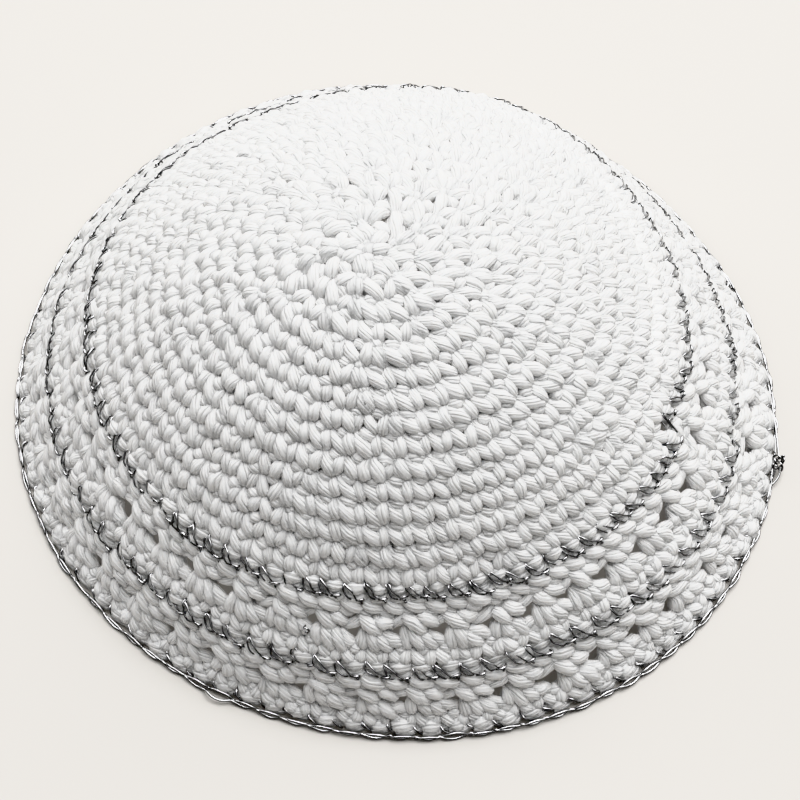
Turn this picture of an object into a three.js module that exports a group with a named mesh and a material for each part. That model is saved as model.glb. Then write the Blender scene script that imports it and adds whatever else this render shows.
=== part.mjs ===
// A kippah (skullcap) crocheted in thick white cotton, lying on its rim.
// The crown is one spiral of single crochet. Below it come two openwork bands with a row of
// eyelets each, set off by rounds of thin silver thread, and a silver edging along the rim.
// Every piece is laid out on one smooth dome, by a turn round the cap and a distance along
// the cloth from the middle of the crown.

import * as THREE from "three";
import { mergeVertices } from "three/addons/utils/BufferGeometryUtils.js";

// Driving dimensions, in millimetres.
const CAP_HEIGHT = 65.5; // table to the top of the dome
const CROWN_RADIUS = 64.4; // out to the upper silver round
const UPPER_BAND_SPREAD = 10.9; // how much further out the lower silver round lies
const LOWER_BAND_SPREAD = 9.7; // and the outside of the rim beyond that
const WALL = 3.4; // thickness of the crocheted cloth
const RIB_HEIGHT = 0.9; // how far a round of stitches stands proud of the groove beside it
const BAND_RELIEF = 1.1; // the same for the fullest stitches of the openwork
const SILVER_WIDTH = 2.6; // a silver round, measured along the cloth
const SILVER_THICKNESS = 1.6; // and through it
const EDGE_HEIGHT = 1.8; // silver edging, above the table
const EDGE_THICKNESS = 2.6; // and from outside to inside
const LOWER_STEP = 2.4; // step in the lower silver round, where it begins
const KNOT_RADIUS = 0.95; // middle of the thread in the fasten-off knot
const KNOT_THREAD_RADIUS = 0.42;
const GAP = 0.3; // clearance between two pieces

// Counts.
const CROWN_ROUNDS = 15; // rounds of stitches in the spiral, where the last one begins
const EYELETS = 47; // in each openwork band

// Places round the cap.
const SPIRAL_END = 342.7; // degrees anticlockwise from +X, where the crown's spiral ends
const SPIRAL_START = 0.75; // turns after that place, where it starts
const LOWER_START = 1; // eyelets after that place, where the lower silver round begins
const KNOT_AT = 355; // degrees
const STEP_FADE = 0.06; // turns over which a step in a round fades out

// Radii that follow from these: the lower silver round, and the rim on the table.
const SECOND_ROUND_RADIUS = CROWN_RADIUS + UPPER_BAND_SPREAD;
const RIM_RADIUS = SECOND_ROUND_RADIUS + LOWER_BAND_SPREAD;

// Sideways lean of each level, as shares of the rim's radius.
const LEVELS = [
  { level: "apex", radius: 0, lean_x: -0.1, lean_y: -0.068 },
  { level: "upper silver round", radius: CROWN_RADIUS, lean_x: -0.027, lean_y: -0.003 },
  { level: "lower silver round", radius: SECOND_ROUND_RADIUS, lean_x: -0.011, lean_y: -0.008 },
  { level: "rim", radius: RIM_RADIUS, lean_x: 0, lean_y: 0 },
];

// Hand-made unevenness of the outline: lobes, as shares of the radius, with a lobe's direction
// in degrees.
const CROWN_LOBES = [
  { lobes: 2, share: 0.014, towards: 23 },
  { lobes: 3, share: 0.009, towards: -44 },
  { lobes: 4, share: 0.01, towards: -21 },
];
const RIM_LOBES = [
  { lobes: 2, share: 0.0145, towards: -19 },
  { lobes: 3, share: 0.012, towards: -23 },
  { lobes: 4, share: 0.0035, towards: 14 },
];

// Rows of an openwork band from its upper edge to its lower one. thin_end and wide_end are
// shares of the band's width, where the row passes the two ends of an eyelet, and depth is the
// share of BAND_RELIEF that the row lies below the fullest stitches.
const BAND_ROWS = [
  { row: "upper edge", thin_end: 0, wide_end: 0, depth: 1 },
  { row: "long stitches", thin_end: 0.11, wide_end: 0.11, depth: 0.2 },
  { row: "groove", thin_end: 0.24, wide_end: 0.24, depth: 1 },
  { row: "arches", thin_end: 0.34, wide_end: 0.32, depth: 0.3 },
  { row: "eyelet roof", thin_end: 0.475, wide_end: 0.41, depth: 0.8 },
  { row: "eyelet sill", thin_end: 0.505, wide_end: 0.56, depth: 0.8 },
  { row: "clusters", thin_end: 0.68, wide_end: 0.7, depth: 0 },
  { row: "small stitches", thin_end: 0.87, wide_end: 0.88, depth: 0.4 },
  { row: "lower edge", thin_end: 1, wide_end: 1, depth: 1 },
];
const EYELET_SHARE = 0.36; // width of an eyelet, as a share of the way to the next one

// How finely the faceted solids follow the shape.
const PROFILE_STEPS = 400;
const KNOT_SEGMENTS = 36;
const KNOT_SIDES = 6;

const mix = (from, to, share) => from + (to - from) * share;
const clamp = (x, low, high) => Math.min(high, Math.max(low, x));
const wrap = (turn) => turn - Math.floor(turn);
const radians = THREE.MathUtils.degToRad;
const angleOf = (turn) => radians(SPIRAL_END) + 2 * Math.PI * turn;

// Reads one column of a table at a value of another column, in straight lines between rows.
function readTable(rows, from, to, value) {
  let i = 1;
  while (i < rows.length - 1 && rows[i][from] < value) i++;
  const [a, b] = [rows[i - 1], rows[i]];
  return mix(a[to], b[to], (value - a[from]) / (b[from] - a[from]));
}

// The dome is a paraboloid before it leans.
const domeHeight = (radius) => CAP_HEIGHT * (1 - (radius / RIM_RADIUS) ** 2);

// The dome's profile: its radius at each distance along the cloth.
const profile = [{ radius: 0, along: 0 }];
for (let i = 1; i <= PROFILE_STEPS; i++) {
  const last = profile[i - 1];
  const radius = (RIM_RADIUS * i) / PROFILE_STEPS;
  const drop = domeHeight(last.radius) - domeHeight(radius);
  profile.push({ radius, along: last.along + Math.hypot(radius - last.radius, drop) });
}
const radiusAt = (along) => readTable(profile, "along", "radius", along);
const alongAt = (radius) => readTable(profile, "radius", "along", radius);

// How much wider than a circle the outline is in one direction.
function swell(angle, radius) {
  const total = (table) =>
    table.reduce((sum, row) => {
      return sum + row.share * Math.cos(row.lobes * (angle - radians(row.towards)));
    }, 0);
  const crownShare = clamp(radius / CROWN_RADIUS, 0, 1);
  const rimShare = (radius - CROWN_RADIUS) / (RIM_RADIUS - CROWN_RADIUS);
  return 1 + mix(total(CROWN_LOBES) * crownShare, total(RIM_LOBES), clamp(rimShare, 0, 1));
}

// A point on the outside of the cloth.
function skin(turn, along) {
  const angle = angleOf(turn);
  const radius = radiusAt(along);
  const reach = radius * swell(angle, radius);
  return new THREE.Vector3(
    RIM_RADIUS * readTable(LEVELS, "radius", "lean_x", radius) + reach * Math.cos(angle),
    RIM_RADIUS * readTable(LEVELS, "radius", "lean_y", radius) + reach * Math.sin(angle),
    domeHeight(radius),
  );
}

// The direction straight out of the cloth at a point of it.
function outward(turn, along) {
  const step = 0.5;
  const sideways = 0.002;
  const middle = Math.max(along, 2 * step);
  const round = skin(turn + sideways, middle).sub(skin(turn - sideways, middle));
  const down = skin(turn, middle + step).sub(skin(turn, middle - step));
  return down.cross(round).normalize();
}

// A point some depth inside the cloth, measured straight through it.
function under(turn, along, depth) {
  return skin(turn, along).addScaledVector(outward(turn, along), -depth);
}

// The same, measured level with the table and for the same thickness of cloth.
function levelUnder(turn, along, depth) {
  const level = outward(turn, along).setZ(0);
  const slant = level.length();
  return skin(turn, along).addScaledVector(level.normalize(), -depth / slant);
}

// Where the silver rounds and the edging run, as distances along the cloth. A round that
// begins with a step follows straight lines from eyelet to eyelet.
function steppedLine(along, step, start) {
  const at = (eyelet) => along - step * Math.exp(-wrap((eyelet - start) / EYELETS) / STEP_FADE);
  return (turn) => {
    const eyelet = Math.floor(turn * EYELETS + 1e-6);
    return mix(at(eyelet), at(eyelet + 1), turn * EYELETS - eyelet);
  };
}
const firstAlong = alongAt(CROWN_RADIUS);
const crownTurns = CROWN_ROUNDS + 0.5 - SPIRAL_START; // from the middle to the edge of the crown
const firstRound = steppedLine(firstAlong, firstAlong / (crownTurns + 1), 0);
const secondRound = steppedLine(alongAt(SECOND_ROUND_RADIUS), LOWER_STEP, LOWER_START);
const edgeTop = alongAt(RIM_RADIUS * Math.sqrt(1 - EDGE_HEIGHT / CAP_HEIGHT));
const rim = alongAt(RIM_RADIUS);

// Collects the triangles of one closed surface.
class Surface {
  corners = [];

  triangle(a, b, c) {
    this.corners.push(...a.toArray(), ...b.toArray(), ...c.toArray());
  }

  // Corners in order round the face, anticlockwise seen from outside.
  quad(a, b, c, d) {
    this.triangle(a, b, c);
    this.triangle(a, c, d);
  }

  // The geometry with shared corners, and without triangles that have shrunk to a line.
  geometry() {
    const loose = new THREE.BufferGeometry();
    loose.setAttribute("position", new THREE.Float32BufferAttribute(this.corners, 3));
    const merged = mergeVertices(loose, 1e-4);
    const index = merged.index.array;
    const kept = [];
    for (let i = 0; i < index.length; i += 3) {
      const [a, b, c] = index.subarray(i, i + 3);
      if (a !== b && b !== c && c !== a) kept.push(a, b, c);
    }
    merged.setIndex(kept);
    merged.computeVertexNormals();
    return merged;
  }
}

// Crown: a ribbed shell. Its lines run with the spiral, half a round apart, a groove along the
// edge, then a crest, and so on inwards. One turn on, a line becomes the second next line.
function crownGeometry() {
  const surface = new Surface();
  const lastLine = Math.ceil(2 * (crownTurns + SPIRAL_START));
  function point(line, column, inside) {
    if (column === EYELETS) return point(line + 2, 0, inside);
    const turn = column / EYELETS;
    const edgeTurns = crownTurns + turn;
    const turns = clamp(line / 2 + turn - SPIRAL_START, 0, edgeTurns);
    const edge = firstRound(turn) - SILVER_WIDTH / 2 - GAP;
    const crest = (lastLine - line) % 2 === 1 && turns > 0 && turns < edgeTurns;
    const depth = inside ? WALL : crest ? 0 : RIB_HEIGHT;
    return under(turns > 0 ? turn : 0, (edge * turns) / edgeTurns, depth);
  }
  for (let column = 0; column < EYELETS; column++) {
    for (let line = 0; line <= lastLine; line++) {
      surface.quad(
        point(line - 1, column, false),
        point(line, column, false),
        point(line, column + 1, false),
        point(line - 1, column + 1, false),
      );
    }
    for (let line = lastLine % 2; line <= lastLine; line += 2) {
      surface.quad(
        point(line - 2, column, true),
        point(line - 2, column + 1, true),
        point(line, column + 1, true),
        point(line, column, true),
      );
    }
    surface.quad(
      point(lastLine, column, false),
      point(lastLine, column, true),
      point(lastLine, column + 1, true),
      point(lastLine, column + 1, false),
    );
  }
  return surface.geometry();
}

// Openwork band between two lines along the cloth, with an eyelet cut through in each group
// of stitches. bottom places the points of its lower edge.
function bandGeometry(upperLine, lowerLine, bottom) {
  const surface = new Surface();
  const roof = BAND_ROWS.findIndex((row) => row.row === "eyelet roof");
  const sill = roof + 1;
  const last = BAND_ROWS.length - 1;
  function point(row, column, inside) {
    const wide = column % 2 === 1;
    const turn = (Math.floor(column / 2) + (wide ? EYELET_SHARE : 0)) / EYELETS;
    const { thin_end, wide_end, depth } = BAND_ROWS[row];
    const along = mix(upperLine(turn), lowerLine(turn), wide ? wide_end : thin_end);
    return (row === last ? bottom : under)(turn, along, inside ? WALL : depth * BAND_RELIEF);
  }
  const face = (upper, lower, column, inside) => {
    const corners = [
      point(upper, column, inside),
      point(lower, column, inside),
      point(lower, column + 1, inside),
      point(upper, column + 1, inside),
    ];
    surface.quad(...(inside ? corners.reverse() : corners));
  };
  // A face through the cloth, seen from the side where the open air is.
  const through = (rowA, columnA, rowB, columnB) => {
    surface.quad(
      point(rowA, columnA, false),
      point(rowA, columnA, true),
      point(rowB, columnB, true),
      point(rowB, columnB, false),
    );
  };
  for (let column = 0; column < 2 * EYELETS; column++) {
    const eyelet = column % 2 === 0;
    for (let row = 0; row < last; row++) {
      if (!(eyelet && row === roof)) face(row, row + 1, column, false);
    }
    face(0, roof, column, true);
    if (!eyelet) face(roof, sill, column, true);
    face(sill, last, column, true);
    through(0, column + 1, 0, column);
    through(last, column, last, column + 1);
    if (eyelet) {
      through(roof, column, roof, column + 1);
      through(roof, column + 1, sill, column + 1);
      through(sill, column + 1, sill, column);
      through(sill, column, roof, column);
    }
  }
  return surface.geometry();
}

// A ring whose section has four corners, each a function of the turn: outside top, outside
// bottom, inside bottom, inside top.
function ringGeometry(corners) {
  const surface = new Surface();
  for (let column = 0; column < EYELETS; column++) {
    const here = corners.map((corner) => corner(column / EYELETS));
    const next = corners.map((corner) => corner(wrap((column + 1) / EYELETS)));
    corners.forEach((_, i) => {
      const j = (i + 1) % corners.length;
      surface.quad(here[i], here[j], next[j], next[i]);
    });
  }
  return surface.geometry();
}

// A silver round, in the middle of the cloth's thickness.
function silverRoundGeometry(line) {
  const half = SILVER_WIDTH / 2;
  const outside = (WALL - SILVER_THICKNESS) / 2;
  const inside = outside + SILVER_THICKNESS;
  return ringGeometry([
    (turn) => under(turn, line(turn) - half, outside),
    (turn) => under(turn, line(turn) + half, outside),
    (turn) => under(turn, line(turn) + half, inside),
    (turn) => under(turn, line(turn) - half, inside),
  ]);
}

// Silver edging: flat underneath, because the cap rests on it.
function edgeGeometry() {
  return ringGeometry([
    (turn) => levelUnder(turn, edgeTop, 0),
    (turn) => levelUnder(turn, rim, 0),
    (turn) => levelUnder(turn, rim, EDGE_THICKNESS),
    (turn) => levelUnder(turn, edgeTop, EDGE_THICKNESS),
  ]);
}

// Fasten-off knot: a trefoil of silver thread against the outside of the edging.
function knotGeometry() {
  return new THREE.TorusKnotGeometry(
    KNOT_RADIUS,
    KNOT_THREAD_RADIUS,
    KNOT_SEGMENTS,
    KNOT_SIDES,
  );
}

const cotton = { color: 0xe9e8e6, roughness: 0.75, metalness: 0 };
const silver = { color: 0x9a9a9c, roughness: 0.35, metalness: 0.9 };

function piece(name, geometry, finish) {
  const mesh = new THREE.Mesh(geometry, new THREE.MeshStandardMaterial(finish));
  mesh.name = name;
  return mesh;
}

const half = SILVER_WIDTH / 2 + GAP;
const kippah = new THREE.Group();
kippah.add(
  piece("crown", crownGeometry(), cotton),
  piece("upper_silver_round", silverRoundGeometry(firstRound), silver),
  piece(
    "upper_eyelet_band",
    bandGeometry(
      (turn) => firstRound(turn) + half,
      (turn) => secondRound(turn) - half,
      under,
    ),
    cotton,
  ),
  piece("lower_silver_round", silverRoundGeometry(secondRound), silver),
  piece(
    "lower_eyelet_band",
    bandGeometry(
      (turn) => secondRound(turn) + half,
      () => edgeTop - GAP,
      levelUnder,
    ),
    cotton,
  ),
  piece("silver_edge", edgeGeometry(), silver),
);

// The knot's face lies against the cloth, with its lowest thread just clear of the table.
const knot = piece("fasten_off_knot", knotGeometry(), silver);
const knotTurn = (KNOT_AT - SPIRAL_END) / 360;
const knotOut = outward(knotTurn, edgeTop);
knot.quaternion.setFromUnitVectors(new THREE.Vector3(0, 0, 1), knotOut);
knot.position.copy(skin(knotTurn, edgeTop));
kippah.add(knot);
knot.updateMatrixWorld(true);
const knotBox = new THREE.Box3().setFromObject(knot, true);
knot.position.addScaledVector(knotOut, 2 * KNOT_THREAD_RADIUS + GAP);
knot.position.z += Math.max(0, GAP - knotBox.min.z);

// The origin is on the table, under the middle of the cap.
const box = new THREE.Box3().setFromObject(kippah, true);
const middle = box.getCenter(new THREE.Vector3());
kippah.position.set(-middle.x, -middle.y, -box.min.z);

export default kippah;
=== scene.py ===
"""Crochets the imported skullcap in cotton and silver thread, stitch by stitch, on a pale table."""

import bpy
import numpy as np
from mathutils import Matrix, Vector


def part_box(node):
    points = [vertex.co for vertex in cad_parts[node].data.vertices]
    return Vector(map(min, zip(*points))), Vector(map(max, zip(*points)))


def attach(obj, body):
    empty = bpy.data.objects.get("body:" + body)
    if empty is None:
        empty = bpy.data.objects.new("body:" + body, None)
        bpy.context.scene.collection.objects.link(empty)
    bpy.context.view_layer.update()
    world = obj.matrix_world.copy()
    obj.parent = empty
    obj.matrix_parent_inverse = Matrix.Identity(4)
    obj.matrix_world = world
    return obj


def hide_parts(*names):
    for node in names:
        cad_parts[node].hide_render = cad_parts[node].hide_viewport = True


bl_info = {
    "name": "Crocheted Skullcap",
    "version": (1, 0, 0),
    "blender": (4, 5, 0),
    "location": "View3D > Sidebar > Skullcap",
    "description": "Crochets a white cotton skullcap with silver rounds over its plain model",
    "category": "Object",
}

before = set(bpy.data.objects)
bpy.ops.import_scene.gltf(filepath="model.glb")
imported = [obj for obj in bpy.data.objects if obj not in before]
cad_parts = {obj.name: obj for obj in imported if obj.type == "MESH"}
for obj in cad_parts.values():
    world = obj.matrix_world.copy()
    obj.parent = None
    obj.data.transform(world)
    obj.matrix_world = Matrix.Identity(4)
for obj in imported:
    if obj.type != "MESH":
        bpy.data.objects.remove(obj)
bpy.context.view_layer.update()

MM = 0.001
TURN = 2 * np.pi

# Directions in degrees anticlockwise from +X: where the crown's spiral ends, where the knot is,
# and where the thread that it pulls straight leaves the rim.
SPIRAL_END = 342.7
KNOT_AT = 352.9
PULLED_FROM = 9
# In turns: where the spiral begins, how far on from there its first stitch stands, and how fast
# the step at a round's start fades.
SPIRAL_START = 0.75
FIRST_STITCH = 0.12
STEP_FADE = 0.06
# In eyelets on from the spiral's end: where the lower silver round and the edge begin, and where
# a loose loop shows.
LOWER_START = 1
EDGE_START = 1.5
STRAY_GROUP = 36

# The step where the lower silver round begins, the height of the edge, and the width of a silver
# round with the gap beside it.
LOWER_STEP = 2.4 * MM
EDGE_HEIGHT = 1.8 * MM
SILVER_WIDTH = 2.6 * MM
GAP = 0.3 * MM

# The lean of each level and the lobes of the outline, as shares of the rim's radius and of the
# radius there. A lobe also has its direction, in degrees.
LEAN_X = {"top": -0.1, "upper round": -0.027, "lower round": -0.011, "rim": 0.0}
LEAN_Y = {"top": -0.068, "upper round": -0.003, "lower round": -0.008, "rim": 0.0}
CROWN_LOBES = {2: (0.014, 23), 3: (0.009, -44), 4: (0.01, -21)}
RIM_LOBES = {2: (0.0145, -19), 3: (0.012, -23), 4: (0.0035, 14)}

# How the yarn runs through each kind of stitch, from its first point to just before the next
# stitch. across is in stitches or groups, down is the share of the round's height from the hole
# that it is worked into, lift is in yarn radii out from the middle of the cloth, and girth is
# the yarn's thickness there, squeezed or full.
SINGLE_CROCHET = np.array(
    [
        # across, down, lift, girth
        (-0.06, -0.04, -0.35, 0.95),  # through the hole to the front
        (-0.13, 0.16, 0.30, 1.22),
        (-0.20, 0.44, 0.86, 1.48),  # leg on the left
        (-0.24, 0.72, 0.78, 1.38),
        (-0.18, 0.94, -0.30, 0.92),
        (0.15, 1.02, -0.30, 0.85),  # over the top
        (0.48, 1.00, -0.20, 0.90),
        (0.46, 0.82, 0.78, 1.32),
        (0.30, 0.52, 1.04, 1.42),  # leg on the right
        (0.12, 0.21, 0.42, 1.20),
        (0.05, -0.10, -0.25, 0.92),  # back through the hole
        (0.10, 0.30, -0.55, 1.00),
        (0.20, 0.75, -0.55, 1.05),
        (0.56, 0.80, -0.55, 1.05),
        (0.48, 0.35, -0.45, 1.00),
        (0.40, 0.02, -0.20, 0.98),
        (0.46, 0.02, 0.20, 1.28),  # loop of the round above, between two stitches
        (0.58, 0.05, 0.46, 1.55),
        (0.71, 0.14, 0.20, 1.32),
        (0.84, 0.18, -0.40, 0.95),
        (0.80, 0.40, -0.60, 1.00),
    ]
)
# The foot of the hole that the next round is worked into, across the stitch, how far a stitch
# stands to the right of its own hole, and how far that hole gives way towards it.
NEXT_HOLE = 0.57
STITCH_LEAN = 0.2
HOLE_GIVES = 0.25
LONG_STITCH = np.array(
    [
        (-0.12, 0.00, -0.30, 0.95),
        (-0.02, 0.14, 0.45, 1.32),
        (0.28, 0.38, 0.82, 1.62),  # long oval that slants down to the right
        (0.64, 0.62, 0.58, 1.45),
        (0.86, 0.82, -0.30, 0.95),
        (0.60, 0.60, -0.60, 1.05),
        (0.05, 0.60, -0.50, 1.05),
        (-0.16, 0.70, 0.10, 1.25),
        (0.02, 0.88, 0.30, 1.42),  # round bit under its left end
        (0.24, 0.98, 0.05, 1.25),
        (0.36, 0.86, -0.50, 0.95),
        (0.70, 0.30, -0.60, 1.05),
    ]
)
ARCH = np.array(
    [
        (0.00, 0.380, 0.10, 1.00),  # strand rising to the top of the next group
        (0.18, 0.325, 0.38, 1.12),
        (0.36, 0.270, 0.42, 1.12),
        (0.50, 0.220, 0.10, 0.95),
        (0.46, 0.260, -0.55, 0.95),
        (0.38, 0.220, -0.20, 0.90),
        (0.42, 0.240, 0.62, 1.15),  # striped bundle falling to the right
        (0.56, 0.330, 1.00, 1.50),
        (0.72, 0.430, 0.85, 1.38),
        (0.84, 0.510, 0.00, 0.95),
        (0.80, 0.380, -0.60, 0.95),
        (0.72, 0.250, -0.30, 0.90),
        (0.76, 0.250, 0.52, 1.15),  # short rounded bump in the middle of the group
        (0.90, 0.300, 0.90, 1.48),
        (1.05, 0.350, 0.55, 1.22),
        (1.05, 0.400, -0.40, 0.95),
    ]
)
CLUSTER = np.array(
    [
        (0.36, 0.74, -0.65, 0.95),
        (0.46, 0.58, -0.45, 0.85),
        (0.49, 0.44, 0.10, 0.95),  # upright post, which bulges beside the eyelet
        (0.47, 0.57, 0.66, 1.42),
        (0.44, 0.70, 0.62, 1.45),
        (0.48, 0.81, 0.00, 0.95),
        (0.58, 0.66, -0.60, 0.95),
        (0.54, 0.48, -0.30, 0.85),
        (0.58, 0.46, 0.45, 1.12),
        (0.67, 0.60, 0.95, 1.64),
        (0.74, 0.73, 0.70, 1.45),
        (0.80, 0.82, 0.00, 0.95),
        (0.82, 0.66, -0.60, 0.95),
        (0.74, 0.52, -0.30, 0.85),
        (0.76, 0.50, 0.50, 1.12),  # slanting post
        (0.90, 0.61, 0.98, 1.60),
        (1.02, 0.73, 0.70, 1.45),
        (1.08, 0.84, -0.20, 0.95),
        (1.00, 0.66, -0.65, 0.95),
        (0.88, 0.52, -0.30, 0.85),
        (0.92, 0.53, 0.40, 1.12),  # flatter post, which is the sill of the next eyelet
        (1.07, 0.605, 0.64, 1.38),
        (1.21, 0.66, 0.42, 1.32),
        (1.33, 0.74, -0.10, 0.98),
        (1.28, 0.77, -0.65, 0.92),
    ]
)
# The rounds of a band: how often the stitch comes in each group, and the shares of the band
# where its down is 0 and 1.
BAND_ROUNDS = {
    "long stitches": (LONG_STITCH, 2, -0.01, 0.23),
    "arches": (ARCH, 1, 0.0, 1.0),
    "clusters": (CLUSTER, 1, 0.0, 1.0),
    "small stitches": (SINGLE_CROCHET, 2, 0.76, 1.00),
}
# In these, down is in millimetres from the middle of the silver round. The white loops that the
# silver thread is worked round:
TOP_LOOPS = np.array(
    [
        (0.13, -0.40, 0.15, 1.20),
        (0.27, -1.20, 0.40, 1.55),
        (0.52, -1.40, 0.66, 1.90),
        (0.77, -1.10, 0.40, 1.55),
        (0.91, -0.20, 0.15, 1.20),
        (0.84, 0.75, 0.45, 1.35),  # behind the silver
        (0.50, 0.85, 0.55, 1.50),
        (0.20, 0.75, 0.45, 1.35),
    ]
)
# Along the rim the part behind the silver is thinner and lies deeper.
EDGE_LOOPS = TOP_LOOPS - np.array([(0, 0, 0, 0)] * 5 + [(0, 0, 0.35, 0.22)] * 3)
# The silver stitch, whose lift is in millimetres from the outside of the cloth:
SILVER_STITCH = np.array(
    [
        (-0.02, -1.20, -2.60, 1.0),
        (-0.02, -2.10, -1.20, 1.0),
        (0.00, -2.20, 0.00, 1.1),
        (0.08, -1.85, 0.36, 1.2),  # hook between two white loops
        (0.28, -1.05, 0.76, 1.0),
        (0.44, -0.15, 0.85, 0.9),
        (0.66, 0.60, 0.68, 1.0),
        (0.84, 1.35, 0.40, 1.0),
        (0.80, 1.60, -0.50, 1.0),
        (0.58, 1.50, -0.20, 0.9),
        (0.64, 1.00, 0.64, 1.1),
        (0.90, 0.70, 0.80, 1.2),  # short strand across the foot
        (1.00, 0.80, 0.30, 1.0),
        (0.84, 1.00, -0.80, 0.9),
        (0.60, 1.60, -0.40, 0.9),
        (0.36, 1.00, 0.60, 1.0),  # second strand back to the hook, beside the first
        (0.14, 0.30, 0.68, 1.0),
        (-0.02, -0.80, 0.50, 1.0),
        (-0.06, -1.80, 0.25, 0.9),
        (0.00, -2.30, -1.40, 1.0),
        (0.40, -0.40, -2.70, 1.0),
        (0.84, 1.40, -2.20, 1.0),
        (0.92, 2.10, -0.80, 1.0),
        (0.90, 1.95, 0.10, 1.1),  # tail into the next round
        (0.84, 1.30, -0.20, 1.0),
        (0.90, 0.40, -1.80, 1.0),
    ]
)
# A loose bit of the same thread, which shows under one eyelet of the upper band:
STRAY_LOOP = np.array(
    [
        (-0.10, 9.20, -0.60, 1.0),
        (-0.13, 9.10, 0.90, 1.1),
        (-0.03, 8.85, 1.35, 1.1),
        (0.10, 9.20, 1.30, 1.1),
        (0.10, 9.70, 1.10, 1.1),
        (-0.02, 9.95, 1.05, 1.1),
        (0.04, 10.60, 0.20, 1.0),
    ]
)
# Round the rim the silver stitch is shorter. Here down is from the bottom of the rim:
EDGE_STITCH = np.array(
    [
        (-0.10, -1.20, -2.00, 1.0),
        (-0.02, -2.60, -1.60, 1.0),
        (0.00, -3.20, -0.60, 1.0),
        (0.03, -3.00, 0.35, 1.1),  # hook between two white loops
        (0.14, -2.50, 0.75, 1.1),
        (0.32, -1.70, 0.70, 1.0),
        (0.42, -0.90, 0.25, 1.0),
        (0.26, -1.30, 0.05, 1.0),
        (0.06, -2.20, 0.20, 1.0),
        (-0.02, -3.00, 0.00, 1.0),
        (0.10, -2.60, -1.40, 1.0),
        (0.50, -1.20, -1.80, 1.0),
    ]
)
# The chain along the rim, one link a stitch. Each link has a strand above and one below it,
# and the next one starts inside it.
CHAIN_ABOVE = np.array(
    [
        (0.00, -0.50, 0.70, 1.4),
        (0.15, -0.95, 1.00, 1.4),
        (0.50, -1.20, 1.08, 1.4),
        (0.85, -0.80, 0.92, 1.4),
    ]
)
CHAIN_BELOW = np.array(
    [
        (0.04, -0.85, 1.06, 1.4),
        (0.20, -0.45, 1.00, 1.4),
        (0.55, -0.15, 1.00, 1.4),
        (0.88, -0.50, 0.70, 1.4),
    ]
)
# One link has come loose and stands off the rim: where in turns on from the spiral's end, how
# far off in millimetres, and over what share of a turn.
LOOSE_LINK_AT = 0.7375
LOOSE_LINK = 1.3
LOOSE_SPREAD = 0.006
# How far chance moves the points of a cotton and of a silver stitch, in the units of its table.
COTTON_SPREAD = (0.055, 0.037, 0.11, 0.10)
SILVER_SPREAD = (0.07, 0.32, 0.18, 0.08)
# Chance moves each stitch as a whole, and each of its points by this share of as much again.
# Nothing moves by more than so many spreads.
POINT_SHARE = 0.5
MOST_SPREADS = 2.5

# How fine the meshes are: corners round the yarn, and rings for each point of a stitch.
COTTON_CORNERS = 7
THREAD_CORNERS = 5
RINGS_A_POINT = 2
# The crown's spiral is cut into three pieces, at these shares of its stitches.
CROWN_PARTS = {"crown_middle": (0, 0.3), "crown_shoulder": (0.3, 0.66), "crown_side": (0.66, 1)}

# Each lamp's place in metres, how wide it is, and its power.
LAMPS = {
    "window": ((0.42, 0.82, 1.33), 2.0, 26.0),
    "overhead_lamp": ((0.1, 0.26, 1.2), 1.0, 11.2),
    "left_lamp": ((-0.9, 0.35, 0.6), 0.5, 2.9),
}
# The lamp in the hollow: its width, its height and its power.
CLOTH_GLOW = (110 * MM, 38 * MM, 0.012)
# The light that comes from all round, and how far the table reaches, in metres.
ROOM_LIGHT = 0.13
TABLE_REACH = 3.0
# How the photo was taken: degrees above the table, degrees that the camera is rolled, its lens
# and its distance in millimetres, and the point that it looks at.
CAMERA_ELEVATION = 61.25
CAMERA_ROLL = 5.93
CAMERA_LENS = 81.8
CAMERA_DISTANCE = 416.5
CAMERA_TARGET = Vector((-0.17, -4.47, 0)) * MM


# Sizes and colours that a user would change.
class CapSizes(bpy.types.PropertyGroup):
    height: bpy.props.FloatProperty(
        name="Height",
        description="Table to the top of the dome",
        default=65.5 * MM,
        unit="LENGTH",
    )
    crown_radius: bpy.props.FloatProperty(
        name="Crown radius",
        description="Middle of the cap to the upper silver round",
        default=64.4 * MM,
        unit="LENGTH",
    )
    upper_spread: bpy.props.FloatProperty(
        name="Upper band spread",
        description="How much further out the lower silver round lies",
        default=10.9 * MM,
        unit="LENGTH",
    )
    lower_spread: bpy.props.FloatProperty(
        name="Lower band spread",
        description="How much further out the rim lies",
        default=9.7 * MM,
        unit="LENGTH",
    )
    rounds: bpy.props.IntProperty(
        name="Crown rounds",
        description="Rounds of the crown's spiral where its last one begins",
        default=15,
    )
    eyelets: bpy.props.IntProperty(
        name="Eyelets",
        description="Eyelets in each openwork band",
        default=47,
    )
    wall: bpy.props.FloatProperty(
        name="Cloth thickness",
        description="Thickness of the crocheted cloth",
        default=3.4 * MM,
        unit="LENGTH",
    )


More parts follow.
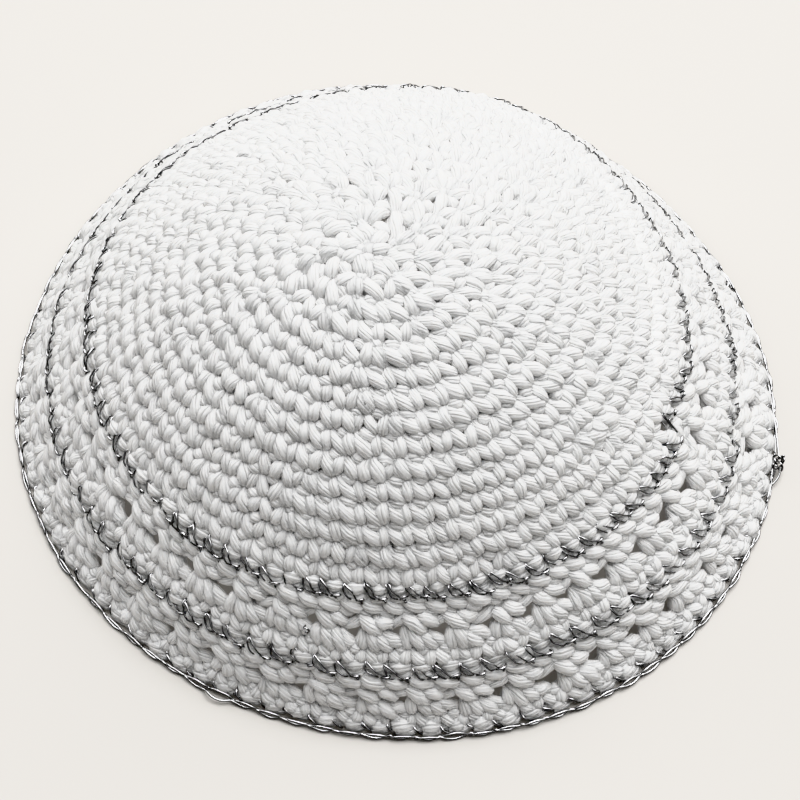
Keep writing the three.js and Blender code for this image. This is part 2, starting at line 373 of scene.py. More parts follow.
class YarnSizes(bpy.types.PropertyGroup):
    cotton_radius: bpy.props.FloatProperty(
        name="Cotton radius",
        description="Radius of the cotton yarn where nothing squeezes it",
        default=1.08 * MM,
        unit="LENGTH",
    )
    stitch: bpy.props.FloatProperty(
        name="Stitch width",
        description="Width of one stitch in the crown",
        default=4.5 * MM,
        unit="LENGTH",
    )
    thread_radius: bpy.props.FloatProperty(
        name="Silver thread radius",
        description="Radius of one strand of the silver thread",
        default=0.2 * MM,
        unit="LENGTH",
    )
    plies: bpy.props.IntProperty(
        name="Plies",
        description="Plies laid side by side in the cotton yarn",
        default=12,
    )
    unevenness: bpy.props.FloatProperty(
        name="Unevenness",
        description="How much one stitch differs from the next",
        default=1.0,
        subtype="FACTOR",
    )
    seed: bpy.props.IntProperty(
        name="Seed",
        description="Start of the run of chance that sets how the stitches differ",
        default=7,
    )


class Finishes(bpy.types.PropertyGroup):
    cotton: bpy.props.FloatVectorProperty(
        name="Cotton",
        description="Colour of the white cotton",
        default=(0.97, 0.965, 0.957),
        subtype="COLOR",
        size=3,
    )
    # Painted shade: this colour stands in for the shade that falls between the cotton's plies.
    cotton_painted_shade: bpy.props.FloatVectorProperty(
        name="Cotton shade",
        description="Colour of the cotton between its plies",
        default=(0.72, 0.715, 0.705),
        subtype="COLOR",
        size=3,
    )
    silver: bpy.props.FloatVectorProperty(
        name="Silver",
        description="Colour of the metallic thread",
        default=(0.9, 0.9, 0.91),
        subtype="COLOR",
        size=3,
    )
    table: bpy.props.FloatVectorProperty(
        name="Table",
        description="Colour of the table top",
        default=(0.725, 0.7, 0.665),
        subtype="COLOR",
        size=3,
    )


def blend(start, end, share):
    return start + (end - start) * share


def way_to_each(steps):
    """How far it is to each point, from the steps between them."""
    return np.concatenate([[0], np.cumsum(steps)])


class Cloth:
    """The outside of the cloth, with each place on it given by a turn and a distance along."""

    def __init__(self, cap, yarn):
        self.cap = cap
        self.yarn = yarn
        self.lower_radius = cap.crown_radius + cap.upper_spread
        self.rim_radius = self.lower_radius + cap.lower_spread
        self.levels = [0, cap.crown_radius, self.lower_radius, self.rim_radius]
        # The distance along the cloth is added up in short steps from the top.
        self.radii = np.linspace(0, self.rim_radius, 401)
        steps = np.hypot(np.diff(self.radii), np.diff(self.level(self.radii)))
        self.alongs = way_to_each(steps)
        self.rim = self.alongs[-1]
        self.edge_top = self.along_at(self.rim_radius * np.sqrt(1 - EDGE_HEIGHT / cap.height))
        self.crown_turns = cap.rounds + 0.5 - SPIRAL_START
        self.first_along = self.along_at(cap.crown_radius)
        self.second_along = self.along_at(self.lower_radius)
        # The plain model stands with the middle of its edging over the origin.
        self.shift = np.zeros(3)
        outline = self.skin(np.linspace(0, 1, 4 * cap.eyelets), self.rim)
        low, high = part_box("silver_edge")
        self.shift[:2] = (np.array(low + high)[:2] - outline.min(0)[:2] - outline.max(0)[:2]) / 2

    def level(self, radius):
        return self.cap.height * (1 - (radius / self.rim_radius) ** 2)

    def along_at(self, radius):
        return np.interp(radius, self.radii, self.alongs)

    def swell(self, angle, radius):
        def total(lobes):
            return sum(
                share * np.cos(count * (angle - np.radians(towards)))
                for count, (share, towards) in lobes.items()
            )

        crown = np.clip(radius / self.cap.crown_radius, 0, 1)
        spread = self.rim_radius - self.cap.crown_radius
        rim = np.clip((radius - self.cap.crown_radius) / spread, 0, 1)
        return 1 + blend(total(CROWN_LOBES) * crown, total(RIM_LOBES), rim)

    def skin(self, turn, along):
        angle = np.radians(SPIRAL_END) + TURN * turn
        radius = np.interp(along, self.alongs, self.radii)
        reach = radius * self.swell(angle, radius)
        lean_x = self.rim_radius * np.interp(radius, self.levels, list(LEAN_X.values()))
        lean_y = self.rim_radius * np.interp(radius, self.levels, list(LEAN_Y.values()))
        x = lean_x + reach * np.cos(angle)
        y = lean_y + reach * np.sin(angle)
        return np.stack([x, y, self.level(radius) + 0 * x], -1) + self.shift

    def outward(self, turn, along):
        """The direction square to the cloth, by places a short step and a small turn away."""
        step, near = 0.5 * MM, 0.002
        middle = np.clip(along, 2 * step, self.rim - step)
        around = self.skin(turn + near, middle) - self.skin(turn - near, middle)
        down = self.skin(turn, middle + step) - self.skin(turn, middle - step)
        normal = np.cross(down, around)
        return normal / np.linalg.norm(normal, axis=-1, keepdims=True)

    def off_skin(self, turn, along, height):
        turn, along, height = np.broadcast_arrays(turn, along, height)
        return self.skin(turn, along) + self.outward(turn, along) * height[..., None]

    def height_of(self, lift):
        """A height off the outside of the cloth, from a lift in yarn radii out from its middle."""
        return lift * self.yarn.cotton_radius - self.cap.wall / 2

    def stepped(self, turn, along, step, start):
        """A line round the cloth, that much higher where it begins, and level again soon after."""
        since = np.mod(turn - start / self.cap.eyelets, 1)
        return along - step * np.exp(-since / STEP_FADE)

    def first_round(self, turn):
        step = self.first_along / (self.crown_turns + 1)
        return self.stepped(turn, self.first_along, step, 0)

    def second_round(self, turn):
        return self.stepped(turn, self.second_along, LOWER_STEP, LOWER_START)

    def edge_line(self, turn):
        """Where a silver round would have its middle, so that its white loops meet the edge."""
        return self.edge_top + SILVER_WIDTH / 2 + 0 * turn

    def in_spiral(self, progress, down, lift):
        """A place in the crown's spiral, down by rounds from a place that is progress rounds in."""
        turn = np.mod(progress, 1)
        edge_turns = self.crown_turns + turn
        edge = self.first_round(turn) - SILVER_WIDTH / 2 - GAP
        turns = np.maximum(progress - SPIRAL_START + down, 0)
        return self.off_skin(turn, edge * turns / edge_turns, self.height_of(lift))

    def in_band(self, upper, lower):
        """What places the yarn in the band between two lines."""

        def place(turn, down, lift):
            along = blend(upper(turn), lower(turn), down)
            return self.off_skin(turn, along, self.height_of(lift))

        return place


def in_turn(count, first=0.0):
    """The turns where stitches begin round the cap, and where the last one ends."""
    return first + np.arange(count + 1) / count


def worked(table, starts, place, chance, spread, holes=None):
    """Points and girths of the yarn through one stitch after another, each a little its own.

    starts holds where each stitch begins, and where the last one ends. spread is how far chance
    moves a point. holes holds the same as starts for the holes that the stitches are worked into,
    where those are elsewhere.
    """
    count = len(starts) - 1
    spread = np.array(spread)
    each = chance.normal(0, 1, (count, 1, 4)) * spread
    each = each + chance.normal(0, POINT_SHARE, (count, len(table), 4)) * spread
    stitch = table[None] + np.clip(each, -MOST_SPREADS * spread, MOST_SPREADS * spread)

    def across(line):
        return line[:-1, None] + stitch[..., 0] * np.diff(line)[:, None]

    holes = starts if holes is None else holes
    turn = blend(across(holes), across(starts), np.clip(stitch[..., 1], 0, 1))
    points = place(turn, stitch[..., 1], stitch[..., 2])
    return np.concatenate([points, stitch[..., 3:]], -1).reshape(-1, 4)


def holes_above(starts):
    """The holes that the stitches of a spiral are worked into, in the round before them.

    Two stitches share a hole where the round grows. The first round has none.
    """
    widths = np.diff(starts)
    holes = starts[:-1] + NEXT_HOLE * widths + 1
    wanted = starts - STITCH_LEAN * np.append(widths, widths[-1])
    nearest = holes[np.searchsorted((holes[1:] + holes[:-1]) / 2, wanted)]
    return np.where(wanted > holes[0], blend(nearest, wanted, HOLE_GIVES), starts)


def by_line(cloth, line, height):
    """What places yarn by millimetres down from a line round the cloth."""

    def place(turn, down, lift):
        return cloth.off_skin(turn, line(turn) + down * MM, height(lift))

    return place


def flow(points, steps):
    """A smooth line through the points, with some steps from each to the next."""
    ends = 2 * points[[0, -1]] - points[[1, -2]]
    padded = np.concatenate([ends[:1], points, ends[1:]])
    a, b, c, d = (padded[i : len(padded) - 3 + i, None] for i in range(4))
    t = (np.arange(steps) / steps)[None, :, None]
    bends = (c - a) + t * ((2 * a - 5 * b + 4 * c - d) + t * (3 * (b - c) + d - a))
    return np.concatenate([(b + 0.5 * t * bends).reshape(-1, points.shape[1]), points[-1:]])


def square_to(line):
    """Two directions square to the line at each point, which turn no more than it bends."""
    tangents = np.gradient(line, axis=0)
    tangents /= np.linalg.norm(tangents, axis=1, keepdims=True)
    # Any direction will do to start from, as long as the line doesn't begin along it.
    start = np.cross(tangents[0], (0.36, 0.48, 0.8))
    x, y, z = start / np.linalg.norm(start)
    sides = []
    for tx, ty, tz in tangents.tolist():
        dot = x * tx + y * ty + z * tz
        x, y, z = x - dot * tx, y - dot * ty, z - dot * tz
        size = (x * x + y * y + z * z) ** 0.5
        x, y, z = x / size, y / size, z / size
        sides.append((x, y, z))
    sides = np.array(sides)
    return sides, np.cross(tangents, sides)


class Skein:
    """Yarn wound into one mesh from several strands, each a tube with flat ends."""

    def __init__(self, radius, corners):
        self.radius = radius
        self.corners = corners
        self.strands = []

    def lay(self, points):
        """Adds a strand through rows of x, y, z and girth."""
        line = flow(points, RINGS_A_POINT)
        radii = line[:, 3] * self.radius
        # Nothing sinks into the table.
        line[:, 2] = np.maximum(line[:, 2], radii)
        self.strands.append((line[:, :3], radii))

    def tubes(self):
        """The vertices, the side faces, the end faces, and where each side face begins and ends."""
        corners = np.arange(self.corners)
        angle = TURN * corners / self.corners
        vertices, sides, ends, lengths = [], [], [], []
        count, travelled = 0, 0.0
        for line, radii in self.strands:
            across, up = square_to(line)
            ring = np.cos(angle)[:, None] * across[:, None] + np.sin(angle)[:, None] * up[:, None]
            vertices.append((line[:, None] + ring * radii[:, None, None]).reshape(-1, 3))
            here = count + self.corners * np.arange(len(line) - 1)[:, None] + corners
            beside = here - corners + (corners + 1) % self.corners
            sides.append(np.stack([here, beside, beside + self.corners, here + self.corners], -1))
            last = count + self.corners * (len(line) - 1)
            ends += [count + corners[::-1], last + corners]
            steps = np.linalg.norm(np.diff(line, axis=0), axis=1)
            length = travelled + way_to_each(steps)
            lengths.append(np.stack([length[:-1], length[1:]], -1))
            count += len(line) * self.corners
            travelled = length[-1]
        return (np.concatenate(part) for part in (vertices, sides, ends, lengths))

    def piece(self, name, material, node):
        """Makes the mesh, which stands for the plain solid of that node."""
        vertices, sides, ends, lengths = self.tubes()
        ends = ends.reshape(-1, self.corners)
        sizes = np.repeat([4, self.corners], [sides.size // 4, len(ends)])
        mesh = bpy.data.meshes.new(name)
        mesh.vertices.add(len(vertices))
        mesh.vertices.foreach_set("co", vertices.astype(np.float32).ravel())
        mesh.loops.add(sides.size + ends.size)
        mesh.loops.foreach_set("vertex_index", np.concatenate([sides.ravel(), ends.ravel()]))
        mesh.polygons.add(len(sizes))
        mesh.polygons.foreach_set("loop_start", np.cumsum(sizes) - sizes)
        mesh.polygons.foreach_set("use_smooth", np.arange(len(sizes)) < sides.size // 4)
        self.map_along(mesh, lengths, len(ends))
        self.map_for_baking(mesh, lengths, len(ends))
        mesh.update(calc_edges=True)
        mesh.materials.append(material)
        made = bpy.data.objects.new(name, mesh)
        bpy.context.scene.collection.objects.link(made)
        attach(made, "root")
        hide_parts(node)

    def shares_round(self):
        """Where the corners of each side face lie, as shares of the way round the yarn."""
        column = np.arange(self.corners)[:, None]
        return (column + np.array([0, 1, 1, 0])) / self.corners

    def map_along(self, mesh, lengths, ends):
        """Lays out the share round the yarn against the millimetres along it."""
        round_it = np.broadcast_to(self.shares_round(), (len(lengths), self.corners, 4))
        along = np.repeat(lengths[:, None, [0, 0, 1, 1]], self.corners, axis=1) / MM
        sides = np.stack([round_it, along], -1).reshape(-1, 2)
        uv = np.concatenate([sides, np.zeros((ends * self.corners, 2))])
        mesh.uv_layers.new(name="yarn").uv.foreach_set("vector", uv.astype(np.float32).ravel())

    def map_for_baking(self, mesh, lengths, ends):
        """Folds the yarn into columns that fill the unit square, with the end faces after it."""
        step = np.mean(lengths[:, 1] - lengths[:, 0])
        cells = len(lengths) + ends
        columns = max(1, round(np.sqrt(cells * step / (TURN * self.radius))))
        rows = -(-cells // columns)
        # In cells: the gap beside the yarn, and the radius of an end face.
        margin, end_radius = 0.03, 0.4
        cell = np.arange(cells)
        corner = np.stack([cell // rows, cell % rows], -1)
        across = margin + (1 - 2 * margin) * self.shares_round()
        place = np.stack([across, np.broadcast_to([0, 0, 1, 1], across.shape)], -1)
        sides = corner[: len(lengths), None, None] + place
        angle = TURN * np.arange(self.corners) / self.corners
        disc = 0.5 + end_radius * np.stack([np.cos(angle), np.sin(angle)], -1)
        discs = corner[len(lengths) :, None] + disc
        uv = np.concatenate([sides.reshape(-1, 2), discs.reshape(-1, 2)]) / (columns, rows)
        mesh.uv_layers.new(name="OFBake").uv.foreach_set("vector", uv.astype(np.float32).ravel())


def look(name):
    """A material and its shader, without the nodes that fed it if it was made before."""
    material = bpy.data.materials.get(name) or bpy.data.materials.new(name)
    material.use_nodes = True
    nodes = material.node_tree.nodes
    kept = (nodes["Principled BSDF"], nodes["Material Output"])
    for node in [node for node in nodes if node not in kept]:
        nodes.remove(node)
    return material, kept[0]


class Wiring:
    """Makes shader nodes in a tree and links them."""

    def __init__(self, tree):
        self.tree = tree

    def node(self, kind, inputs=(), **settings):
        made = self.tree.nodes.new("ShaderNode" + kind)
        for setting, value in settings.items():
            setattr(made, setting, value)
        for socket, value in dict(inputs).items():
            self.put(value, made.inputs[socket])
        return made

    def put(self, value, socket):
        if isinstance(value, bpy.types.NodeSocket):
            self.tree.links.new(value, socket)
        else:
            socket.default_value = value

    def math(self, operation, *values):
        return self.node("Math", enumerate(values), operation=operation).outputs[0]

    def ramp(self, value, low, high, to_low=0.0, to_high=1.0):
        """The value from low to high, eased to run between two others."""
        inputs = {0: value, 1: low, 2: high, 3: to_low, 4: to_high}
        return self.node("MapRange", inputs, interpolation_type="SMOOTHSTEP").outputs[0]

    def mix(self, share, start, end):
        made = self.node("Mix", data_type="RGBA")
        for socket, value in zip((0, 6, 7), (share, start, end)):
            self.put(value, made.inputs[socket])
        return made.outputs[2]

    def spun(self, plies, twist, fibres):
        """What the spun yarn gives, with its own values for this material."""
        inputs = {"Plies": plies, "Twist": twist, "Fibres": fibres}
        return self.node("Group", inputs, node_tree=spun_yarn()).outputs

    def surface(self, shader, spun, colour, roughness, strength, depth):
        """Gives the shader its colour, its roughness from low to high, and its relief."""
        self.put(colour, shader.inputs["Base Color"])
        self.put(self.ramp(spun["Tone"], 0.3, 0.7, *roughness), shader.inputs["Roughness"])
        relief = {"Strength": strength, "Distance": depth, "Height": spun["Height"]}
        self.put(self.node("Bump", relief).outputs[0], shader.inputs["Normal"])


def spun_yarn():
    """Plies that lie round a thread with a slow twist, and fibres along them.

    Height is the relief, Groove is 1 between two plies, where the materials paint shade, and Tone
    drifts slowly along the yarn.
    """
    if "spun_yarn" in bpy.data.node_groups:
        return bpy.data.node_groups["spun_yarn"]
    tree = bpy.data.node_groups.new("spun_yarn", "ShaderNodeTree")
    for name, value in {"Plies": 8, "Twist": 0.04, "Fibres": 0.3}.items():
        socket = tree.interface.new_socket(name, in_out="INPUT", socket_type="NodeSocketFloat")
        socket.default_value = value
    for name in ("Height", "Groove", "Tone"):
        tree.interface.new_socket(name, in_out="OUTPUT", socket_type="NodeSocketFloat")
    wiring = Wiring(tree)
    given = tree.nodes.new("NodeGroupInput").outputs
    result = tree.nodes.new("NodeGroupOutput").inputs
    place = wiring.node("UVMap", uv_map="yarn").outputs[0]
    place = wiring.node("SeparateXYZ", {0: place}).outputs
    around = wiring.math("ADD", place[0], wiring.math("MULTIPLY", place[1], given["Twist"]))
    ply = wiring.math("MULTIPLY", wiring.math("MULTIPLY", around, given["Plies"]), np.pi)
    ridge = wiring.math("ABSOLUTE", wiring.math("SINE", ply))
    angle = wiring.math("MULTIPLY", around, TURN)
    # The pattern wraps round the yarn, and is drawn out along it.
    wide, drawn_out = 4.0, 0.6
    strand = wiring.node(
        "CombineXYZ",
        {
            0: wiring.math("MULTIPLY", wiring.math("COSINE", angle), wide),
            1: wiring.math("MULTIPLY", wiring.math("SINE", angle), wide),
            2: wiring.math("MULTIPLY", place[1], drawn_out),
        },
    ).outputs[0]
    fibre = wiring.node("TexNoise", {"Vector": strand, "Scale": 1.1, "Detail": 5.0}).outputs[0]
    loose = wiring.math("MULTIPLY", wiring.math("SUBTRACT", fibre, 0.5), given["Fibres"])
    # In patches the plies close up, and the groove between them nearly goes.
    patch = wiring.node("TexNoise", {"Vector": strand, "Scale": 0.35, "Detail": 1.0}).outputs[0]
    ridge = wiring.math("MAXIMUM", ridge, wiring.ramp(patch, 0.36, 0.62, to_high=0.65))
    wiring.put(wiring.math("ADD", wiring.math("POWER", ridge, 0.7), loose), result["Height"])
    uneven = wiring.math("ADD", ridge, loose)
    # Groove is also the mask for the painted shade between the plies.
    groove = wiring.ramp(uneven, 0.05, 0.55, to_low=1.0, to_high=0.0)
    wiring.put(groove, result["Groove"])
    drift = wiring.node("CombineXYZ", {0: wiring.math("MULTIPLY", place[1], 0.11)}).outputs[0]
    tone = wiring.node("TexNoise", {"Vector": drift, "Scale": 1.0, "Detail": 1.0}).outputs[0]
    wiring.put(tone, result["Tone"])
    return tree


def white_cotton(finishes, yarn):
    """Soft matt cotton, which lets a little light through, with painted shade that greys it between
    its plies.
    """
    material, shader = look("white_cotton")
    wiring = Wiring(material.node_tree)
    spun = wiring.spun(plies=yarn.plies, twist=0.03, fibres=1.7)
    # Painted shade: the groove mask mixes the cotton toward its painted shade between the plies.
    cotton = wiring.mix(spun["Groove"], (*finishes.cotton, 1), (*finishes.cotton_painted_shade, 1))
    wiring.surface(shader, spun, cotton, (0.5, 0.7), strength=0.85, depth=0.28 * MM)
    shader.inputs["Subsurface Weight"].default_value = 0.5
    shader.inputs["Subsurface Radius"].default_value = (1.0, 0.97, 0.94)
    shader.inputs["Subsurface Scale"].default_value = 1.2 * MM
    shader.inputs["Specular IOR Level"].default_value = 0.4
    return material


def silver_thread(finishes):
    """Polished thread with its light painted in: bright where it faces up and dark elsewhere, a
    painted reflection of a dark room.
    """
    material, shader = look("silver_thread")
    wiring = Wiring(material.node_tree)
    spun = wiring.spun(plies=2, twist=0.2, fibres=0.4)
    # Painted reflection: the colour is bright where the thread faces up and dark where it faces
    # sideways or down.
    normal = wiring.node("NewGeometry").outputs["Normal"]
    upward = wiring.node("SeparateXYZ", {0: normal}).outputs[2]
    # Painted shade: it is a little darker between its plies.
    between = wiring.math("MULTIPLY", spun["Groove"], 0.15)
    bright = wiring.ramp(wiring.math("SUBTRACT", upward, between), 0.64, 0.91)
    # Painted shade: the colour of the thread where it faces sideways or down.
    dark = [0.09 * share for share in finishes.silver]
    silver = wiring.mix(bright, (*dark, 1), (*finishes.silver, 1))
    wiring.surface(shader, spun, silver, (0.22, 0.38), strength=0.4, depth=0.06 * MM)
    shader.inputs["Metallic"].default_value = 1.0
    return material


class CrochetCrown(bpy.types.Operator):
    """Works the crown in one spiral of single crochet, from the middle out"""

    bl_idname = "skullcap.crown"
    bl_label = "Crochet Crown"

    def execute(self, context):
        scene = context.scene
        yarn = scene.skullcap_yarn
        cap = scene.skullcap_cap
        cloth = Cloth(cap, yarn)
        chance = np.random.default_rng(yarn.seed)
        # The spiral is measured in short steps, and stitches of one width follow each other on it.
        progress = np.linspace(SPIRAL_START + FIRST_STITCH, cap.rounds + 1, 4001)
        line = cloth.in_spiral(progress, 0, 0)
        length = way_to_each(np.linalg.norm(np.diff(line, axis=0), axis=1))
        count = round(length[-1] / yarn.stitch)
        starts = np.interp(np.linspace(0, length[-1], count + 1), length, progress)

        def in_row(turn, down, lift):
            # A row lies half a round to each side of its line.
            return cloth.in_spiral(turn, down - 0.5, lift)

        uneven = yarn.unevenness * np.array(COTTON_SPREAD)
        spiral = worked(SINGLE_CROCHET, starts, in_row, chance, uneven, holes_above(starts))
        points = len(SINGLE_CROCHET)
        cotton = white_cotton(scene.skullcap_finishes, yarn)
        for name, (first, last) in CROWN_PARTS.items():
            skein = Skein(yarn.cotton_radius, COTTON_CORNERS)
            skein.lay(spiral[round(first * count) * points : round(last * count) * points + 1])
            if last == 1:
                # The top loops of the last round, which the silver thread is worked round.
                loops = by_line(cloth, cloth.first_round, cloth.height_of)
                starts = in_turn(2 * cap.eyelets)
                skein.lay(worked(TOP_LOOPS, starts, loops, chance, uneven))
            skein.piece(name, cotton, "crown")
        return {"FINISHED"}


class CrochetBands(bpy.types.Operator):
    """Works the two openwork bands round by round, with an eyelet between each group"""

    bl_idname = "skullcap.bands"
    bl_label = "Crochet Eyelet Bands"

    def execute(self, context):
        scene = context.scene
        yarn = scene.skullcap_yarn
        cap = scene.skullcap_cap
        cloth = Cloth(cap, yarn)
        chance = np.random.default_rng(yarn.seed + 1)
        cotton = white_cotton(scene.skullcap_finishes, yarn)
        side = SILVER_WIDTH / 2 + GAP
        uneven = yarn.unevenness * np.array(COTTON_SPREAD)
        bands = {
            "upper_eyelet_band": (0, cloth.first_round, cloth.second_round, TOP_LOOPS),
            "lower_eyelet_band": (LOWER_START, cloth.second_round, cloth.edge_line, EDGE_LOOPS),
        }
        for node, (start, upper, lower, last_loops) in bands.items():
            place = cloth.in_band(
                lambda turn, line=upper: line(turn) + side,
                lambda turn, line=lower: line(turn) - side,
            )
            skein = Skein(yarn.cotton_radius, COTTON_CORNERS)
            for table, per_group, top, foot in BAND_ROUNDS.values():
                starts = in_turn(per_group * cap.eyelets, start / cap.eyelets)

                def in_round(turn, down, lift, top=top, foot=foot):
                    return place(turn, blend(top, foot, down), lift)

                skein.lay(worked(table, starts, in_round, chance, uneven))
            loops = by_line(cloth, lower, cloth.height_of)
            starts = in_turn(2 * cap.eyelets, start / cap.eyelets)
            skein.lay(worked(last_loops, starts, loops, chance, uneven))
            skein.piece(node.replace("_band", "_yarn"), cotton, node)
        return {"FINISHED"}


class CrochetSilverRounds(bpy.types.Operator):
    """Works the two silver rounds, whose thread hooks round each stitch above"""

    bl_idname = "skullcap.silver_rounds"
    bl_label = "Crochet Silver Rounds"

    def execute(self, context):
        scene = context.scene
        yarn = scene.skullcap_yarn
        cap = scene.skullcap_cap
        cloth = Cloth(cap, yarn)
        chance = np.random.default_rng(yarn.seed + 2)
        silver = silver_thread(scene.skullcap_finishes)
        uneven = yarn.unevenness * np.array(SILVER_SPREAD)
        rounds = {
            "upper_silver_round": (cloth.first_round, 0),
            "lower_silver_round": (cloth.second_round, LOWER_START),
        }
        for node, (line, start) in rounds.items():
            skein = Skein(yarn.thread_radius, THREAD_CORNERS)
            starts = in_turn(2 * cap.eyelets, start / cap.eyelets)
            place = by_line(cloth, line, lambda lift: lift * MM)
            skein.lay(worked(SILVER_STITCH, starts, place, chance, uneven))
            if start == 0:
                stitch = 2 * STRAY_GROUP + 0.5 + np.arange(2)
                skein.lay(worked(STRAY_LOOP, stitch / (2 * cap.eyelets), place, chance, 0 * uneven))
            skein.piece(node.replace("_round", "_thread"), silver, node)
        return {"FINISHED"}


class CrochetSilverEdge(bpy.types.Operator):
    """Works the silver stitches round the rim, with a chain along them"""

    bl_idname = "skullcap.silver_edge"
    bl_label = "Crochet Silver Edge"

    def execute(self, context):
        scene = context.scene
        yarn = scene.skullcap_yarn
        cap = scene.skullcap_cap
        cloth = Cloth(cap, yarn)
        chance = np.random.default_rng(yarn.seed + 3)
        silver = silver_thread(scene.skullcap_finishes)
        skein = Skein(yarn.thread_radius, THREAD_CORNERS)
        starts = in_turn(2 * cap.eyelets, EDGE_START / cap.eyelets)
        uneven = yarn.unevenness * np.array(SILVER_SPREAD)
        strands = (
            (EDGE_STITCH, uneven, 0),
            (CHAIN_ABOVE, uneven / 2, 0),
            (CHAIN_BELOW, uneven / 2, LOOSE_LINK),
        )
        for table, spread, looseness in strands:

            def place(turn, down, lift, looseness=looseness):
                off = looseness * np.exp(-(((turn - LOOSE_LINK_AT) / LOOSE_SPREAD) ** 2))
                return cloth.off_skin(turn, cloth.rim + down * MM, (lift + off) * MM)

            skein.lay(worked(table, starts, place, chance, spread))
        skein.piece("silver_edging", silver, "silver_edge")
        return {"FINISHED"}


class TieKnot(bpy.types.Operator):
    """Ties the fasten-off knot at the end of the edge, with its short end"""

    bl_idname = "skullcap.knot"
    bl_label = "Tie Knot"

    def execute(self, context):
        scene = context.scene
        yarn = scene.skullcap_yarn
        cloth = Cloth(scene.skullcap_cap, yarn)
        silver = silver_thread(scene.skullcap_finishes)

        def by_rim(turn, above, off):
            """A place by millimetres above the rim and off the cloth."""
            return cloth.off_skin(turn, cloth.rim - above * MM, off * MM)

        turn = (KNOT_AT - SPIRAL_END) / 360
        middle = by_rim(turn, above=1.5, off=2.2)
        up = np.array([0, 0, 1])
        side = np.cross(up, cloth.outward(turn, cloth.rim))
        side /= np.linalg.norm(side)
        out = np.cross(side, up)
        skein = Skein(yarn.thread_radius, THREAD_CORNERS)

        def lay(line, girth):
            skein.lay(np.concatenate([line, np.full((len(line), 1), girth)], 1))

        def from_knot(side_way, out_way, up_way):
            ways = np.outer(side_way, side) + np.outer(out_way, out) + np.outer(up_way, up)
            return middle + MM * ways

        # The knot itself is one tangled line.
        angle = np.linspace(0, TURN, 91)
        side_way = 1.5 * np.sin(3 * angle + 0.7)
        lay(from_knot(side_way, 1.2 * np.sin(4 * angle), np.sin(7 * angle)), 1.05)
        # A link of two strands hangs from it on one side, and its thread pulls straight on the
        # other: where each leaves the knot, where it ends, how far it bows out, and its girth.
        link_end = by_rim(turn - 0.0095, above=0.6, off=0.9)
        pulled_end = by_rim((PULLED_FROM + 360 - SPIRAL_END) / 360, above=0.8, off=0.6)
        strands = (
            ((-1.1, 0.6, 0), link_end, 0.6, 1.3),
            ((-1.1, -0.8, -0.3), link_end, -0.3, 1.1),
            ((0.8, 0.2, 0.2), pulled_end, 0.3, 1.2),
        )
        share = np.linspace(0, 1, 9)[:, None]
        for start, end, bow, girth in strands:
            straight = blend(from_knot(*start), end, share)
            lay(straight + bow * MM * np.sin(np.pi * share) * out, girth)
        skein.piece("silver_knot", silver, "fasten_off_knot")
        return {"FINISHED"}


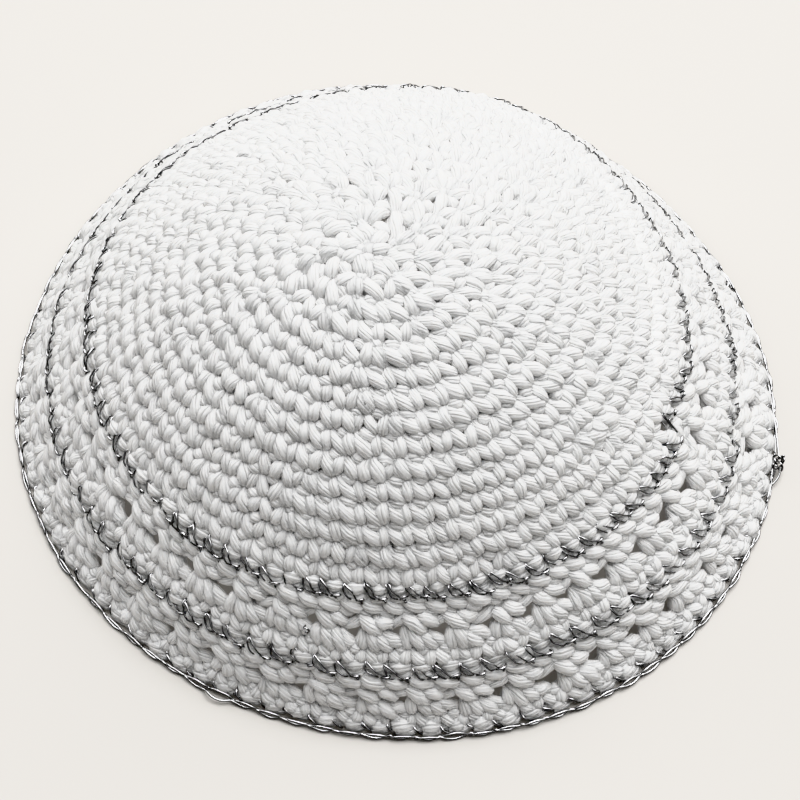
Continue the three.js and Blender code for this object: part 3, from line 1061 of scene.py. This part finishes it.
class SetStage(bpy.types.Operator):
    """Sets the table, the soft light and the camera"""

    bl_idname = "skullcap.stage"
    bl_label = "Set Stage"

    def execute(self, context):
        scene = context.scene
        mesh = bpy.data.meshes.new("table_top")
        reach = TABLE_REACH
        corners = [(-reach, -reach, 0), (reach, -reach, 0), (reach, reach, 0), (-reach, reach, 0)]
        mesh.from_pydata(corners, [], [(0, 1, 2, 3)])
        table = bpy.data.objects.new("table_top", mesh)
        scene.collection.objects.link(table)
        material, shader = look("table_paper")
        shader.inputs["Base Color"].default_value = (*scene.skullcap_finishes.table, 1)
        shader.inputs["Roughness"].default_value = 0.7
        mesh.materials.append(material)

        world = bpy.data.worlds.new("studio")
        scene.world = world
        world.use_nodes = True
        background = world.node_tree.nodes["Background"]
        background.inputs[0].default_value = (1.0, 0.99, 0.975, 1)
        background.inputs[1].default_value = ROOM_LIGHT

        def hang(name, place, size, power):
            light = bpy.data.lights.new(name, "AREA")
            light.size = size
            light.energy = power
            lamp = bpy.data.objects.new(name, light)
            lamp.location = place
            scene.collection.objects.link(lamp)
            return lamp

        for name, (place, size, power) in LAMPS.items():
            lamp = hang(name, place, size, power)
            lamp.rotation_euler = (-Vector(place)).to_track_quat("-Z", "Y").to_euler()
        # White cotton lets some light through, which fills the hollow.
        width, height, power = CLOTH_GLOW
        lamp = hang("light_through_cloth", (0, 0, height), width, power)
        lamp.data.shape = "DISK"
        lamp.visible_camera = False

        # This keeps the whites from burning out.
        scene.view_settings.view_transform = "Khronos PBR Neutral"
        lens = bpy.data.cameras.new("photo_camera")
        lens.sensor_width = 36
        lens.lens = CAMERA_LENS
        lens.clip_start = 10 * MM
        camera = bpy.data.objects.new("photo_camera", lens)
        elevation, roll = np.radians(CAMERA_ELEVATION), np.radians(CAMERA_ROLL)
        back = Vector((0, -np.cos(elevation), np.sin(elevation)))
        up = Vector((0, np.sin(elevation), np.cos(elevation)))
        right = Vector((1, 0, 0))
        image_right = right * np.cos(roll) + up * np.sin(roll)
        image_up = up * np.cos(roll) - right * np.sin(roll)
        turned = Matrix((image_right, image_up, back)).transposed()
        place = Matrix.Translation(CAMERA_TARGET + back * CAMERA_DISTANCE * MM)
        camera.matrix_world = place @ turned.to_4x4()
        scene.collection.objects.link(camera)
        scene.camera = camera
        return {"FINISHED"}


class SkullcapPanel(bpy.types.Panel):
    """Lists the sizes and the steps that make the skullcap"""

    bl_idname = "SKULLCAP_PT_steps"
    bl_label = "Skullcap"
    bl_space_type = "VIEW_3D"
    bl_region_type = "UI"
    bl_category = "Skullcap"

    def draw(self, context):
        for group, kind in GROUPS.items():
            box = self.layout.box()
            for name in kind.__annotations__:
                box.prop(getattr(context.scene, group), name)
        for step in STEPS:
            self.layout.operator(step.bl_idname)


GROUPS = {"skullcap_cap": CapSizes, "skullcap_yarn": YarnSizes, "skullcap_finishes": Finishes}
STEPS = (SetStage, CrochetCrown, CrochetBands, CrochetSilverRounds, CrochetSilverEdge, TieKnot)


def register():
    for kind in (*GROUPS.values(), *STEPS, SkullcapPanel):
        bpy.utils.register_class(kind)
    for name, kind in GROUPS.items():
        setattr(bpy.types.Scene, name, bpy.props.PointerProperty(type=kind))


def unregister():
    for name in GROUPS:
        delattr(bpy.types.Scene, name)
    for kind in (SkullcapPanel, *STEPS, *GROUPS.values()):
        bpy.utils.unregister_class(kind)


def main():
    register()
    bpy.ops.skullcap.stage()
    bpy.ops.skullcap.crown()
    bpy.ops.skullcap.bands()
    bpy.ops.skullcap.silver_rounds()
    bpy.ops.skullcap.silver_edge()
    bpy.ops.skullcap.knot()


if __name__ == "__main__":
    main()
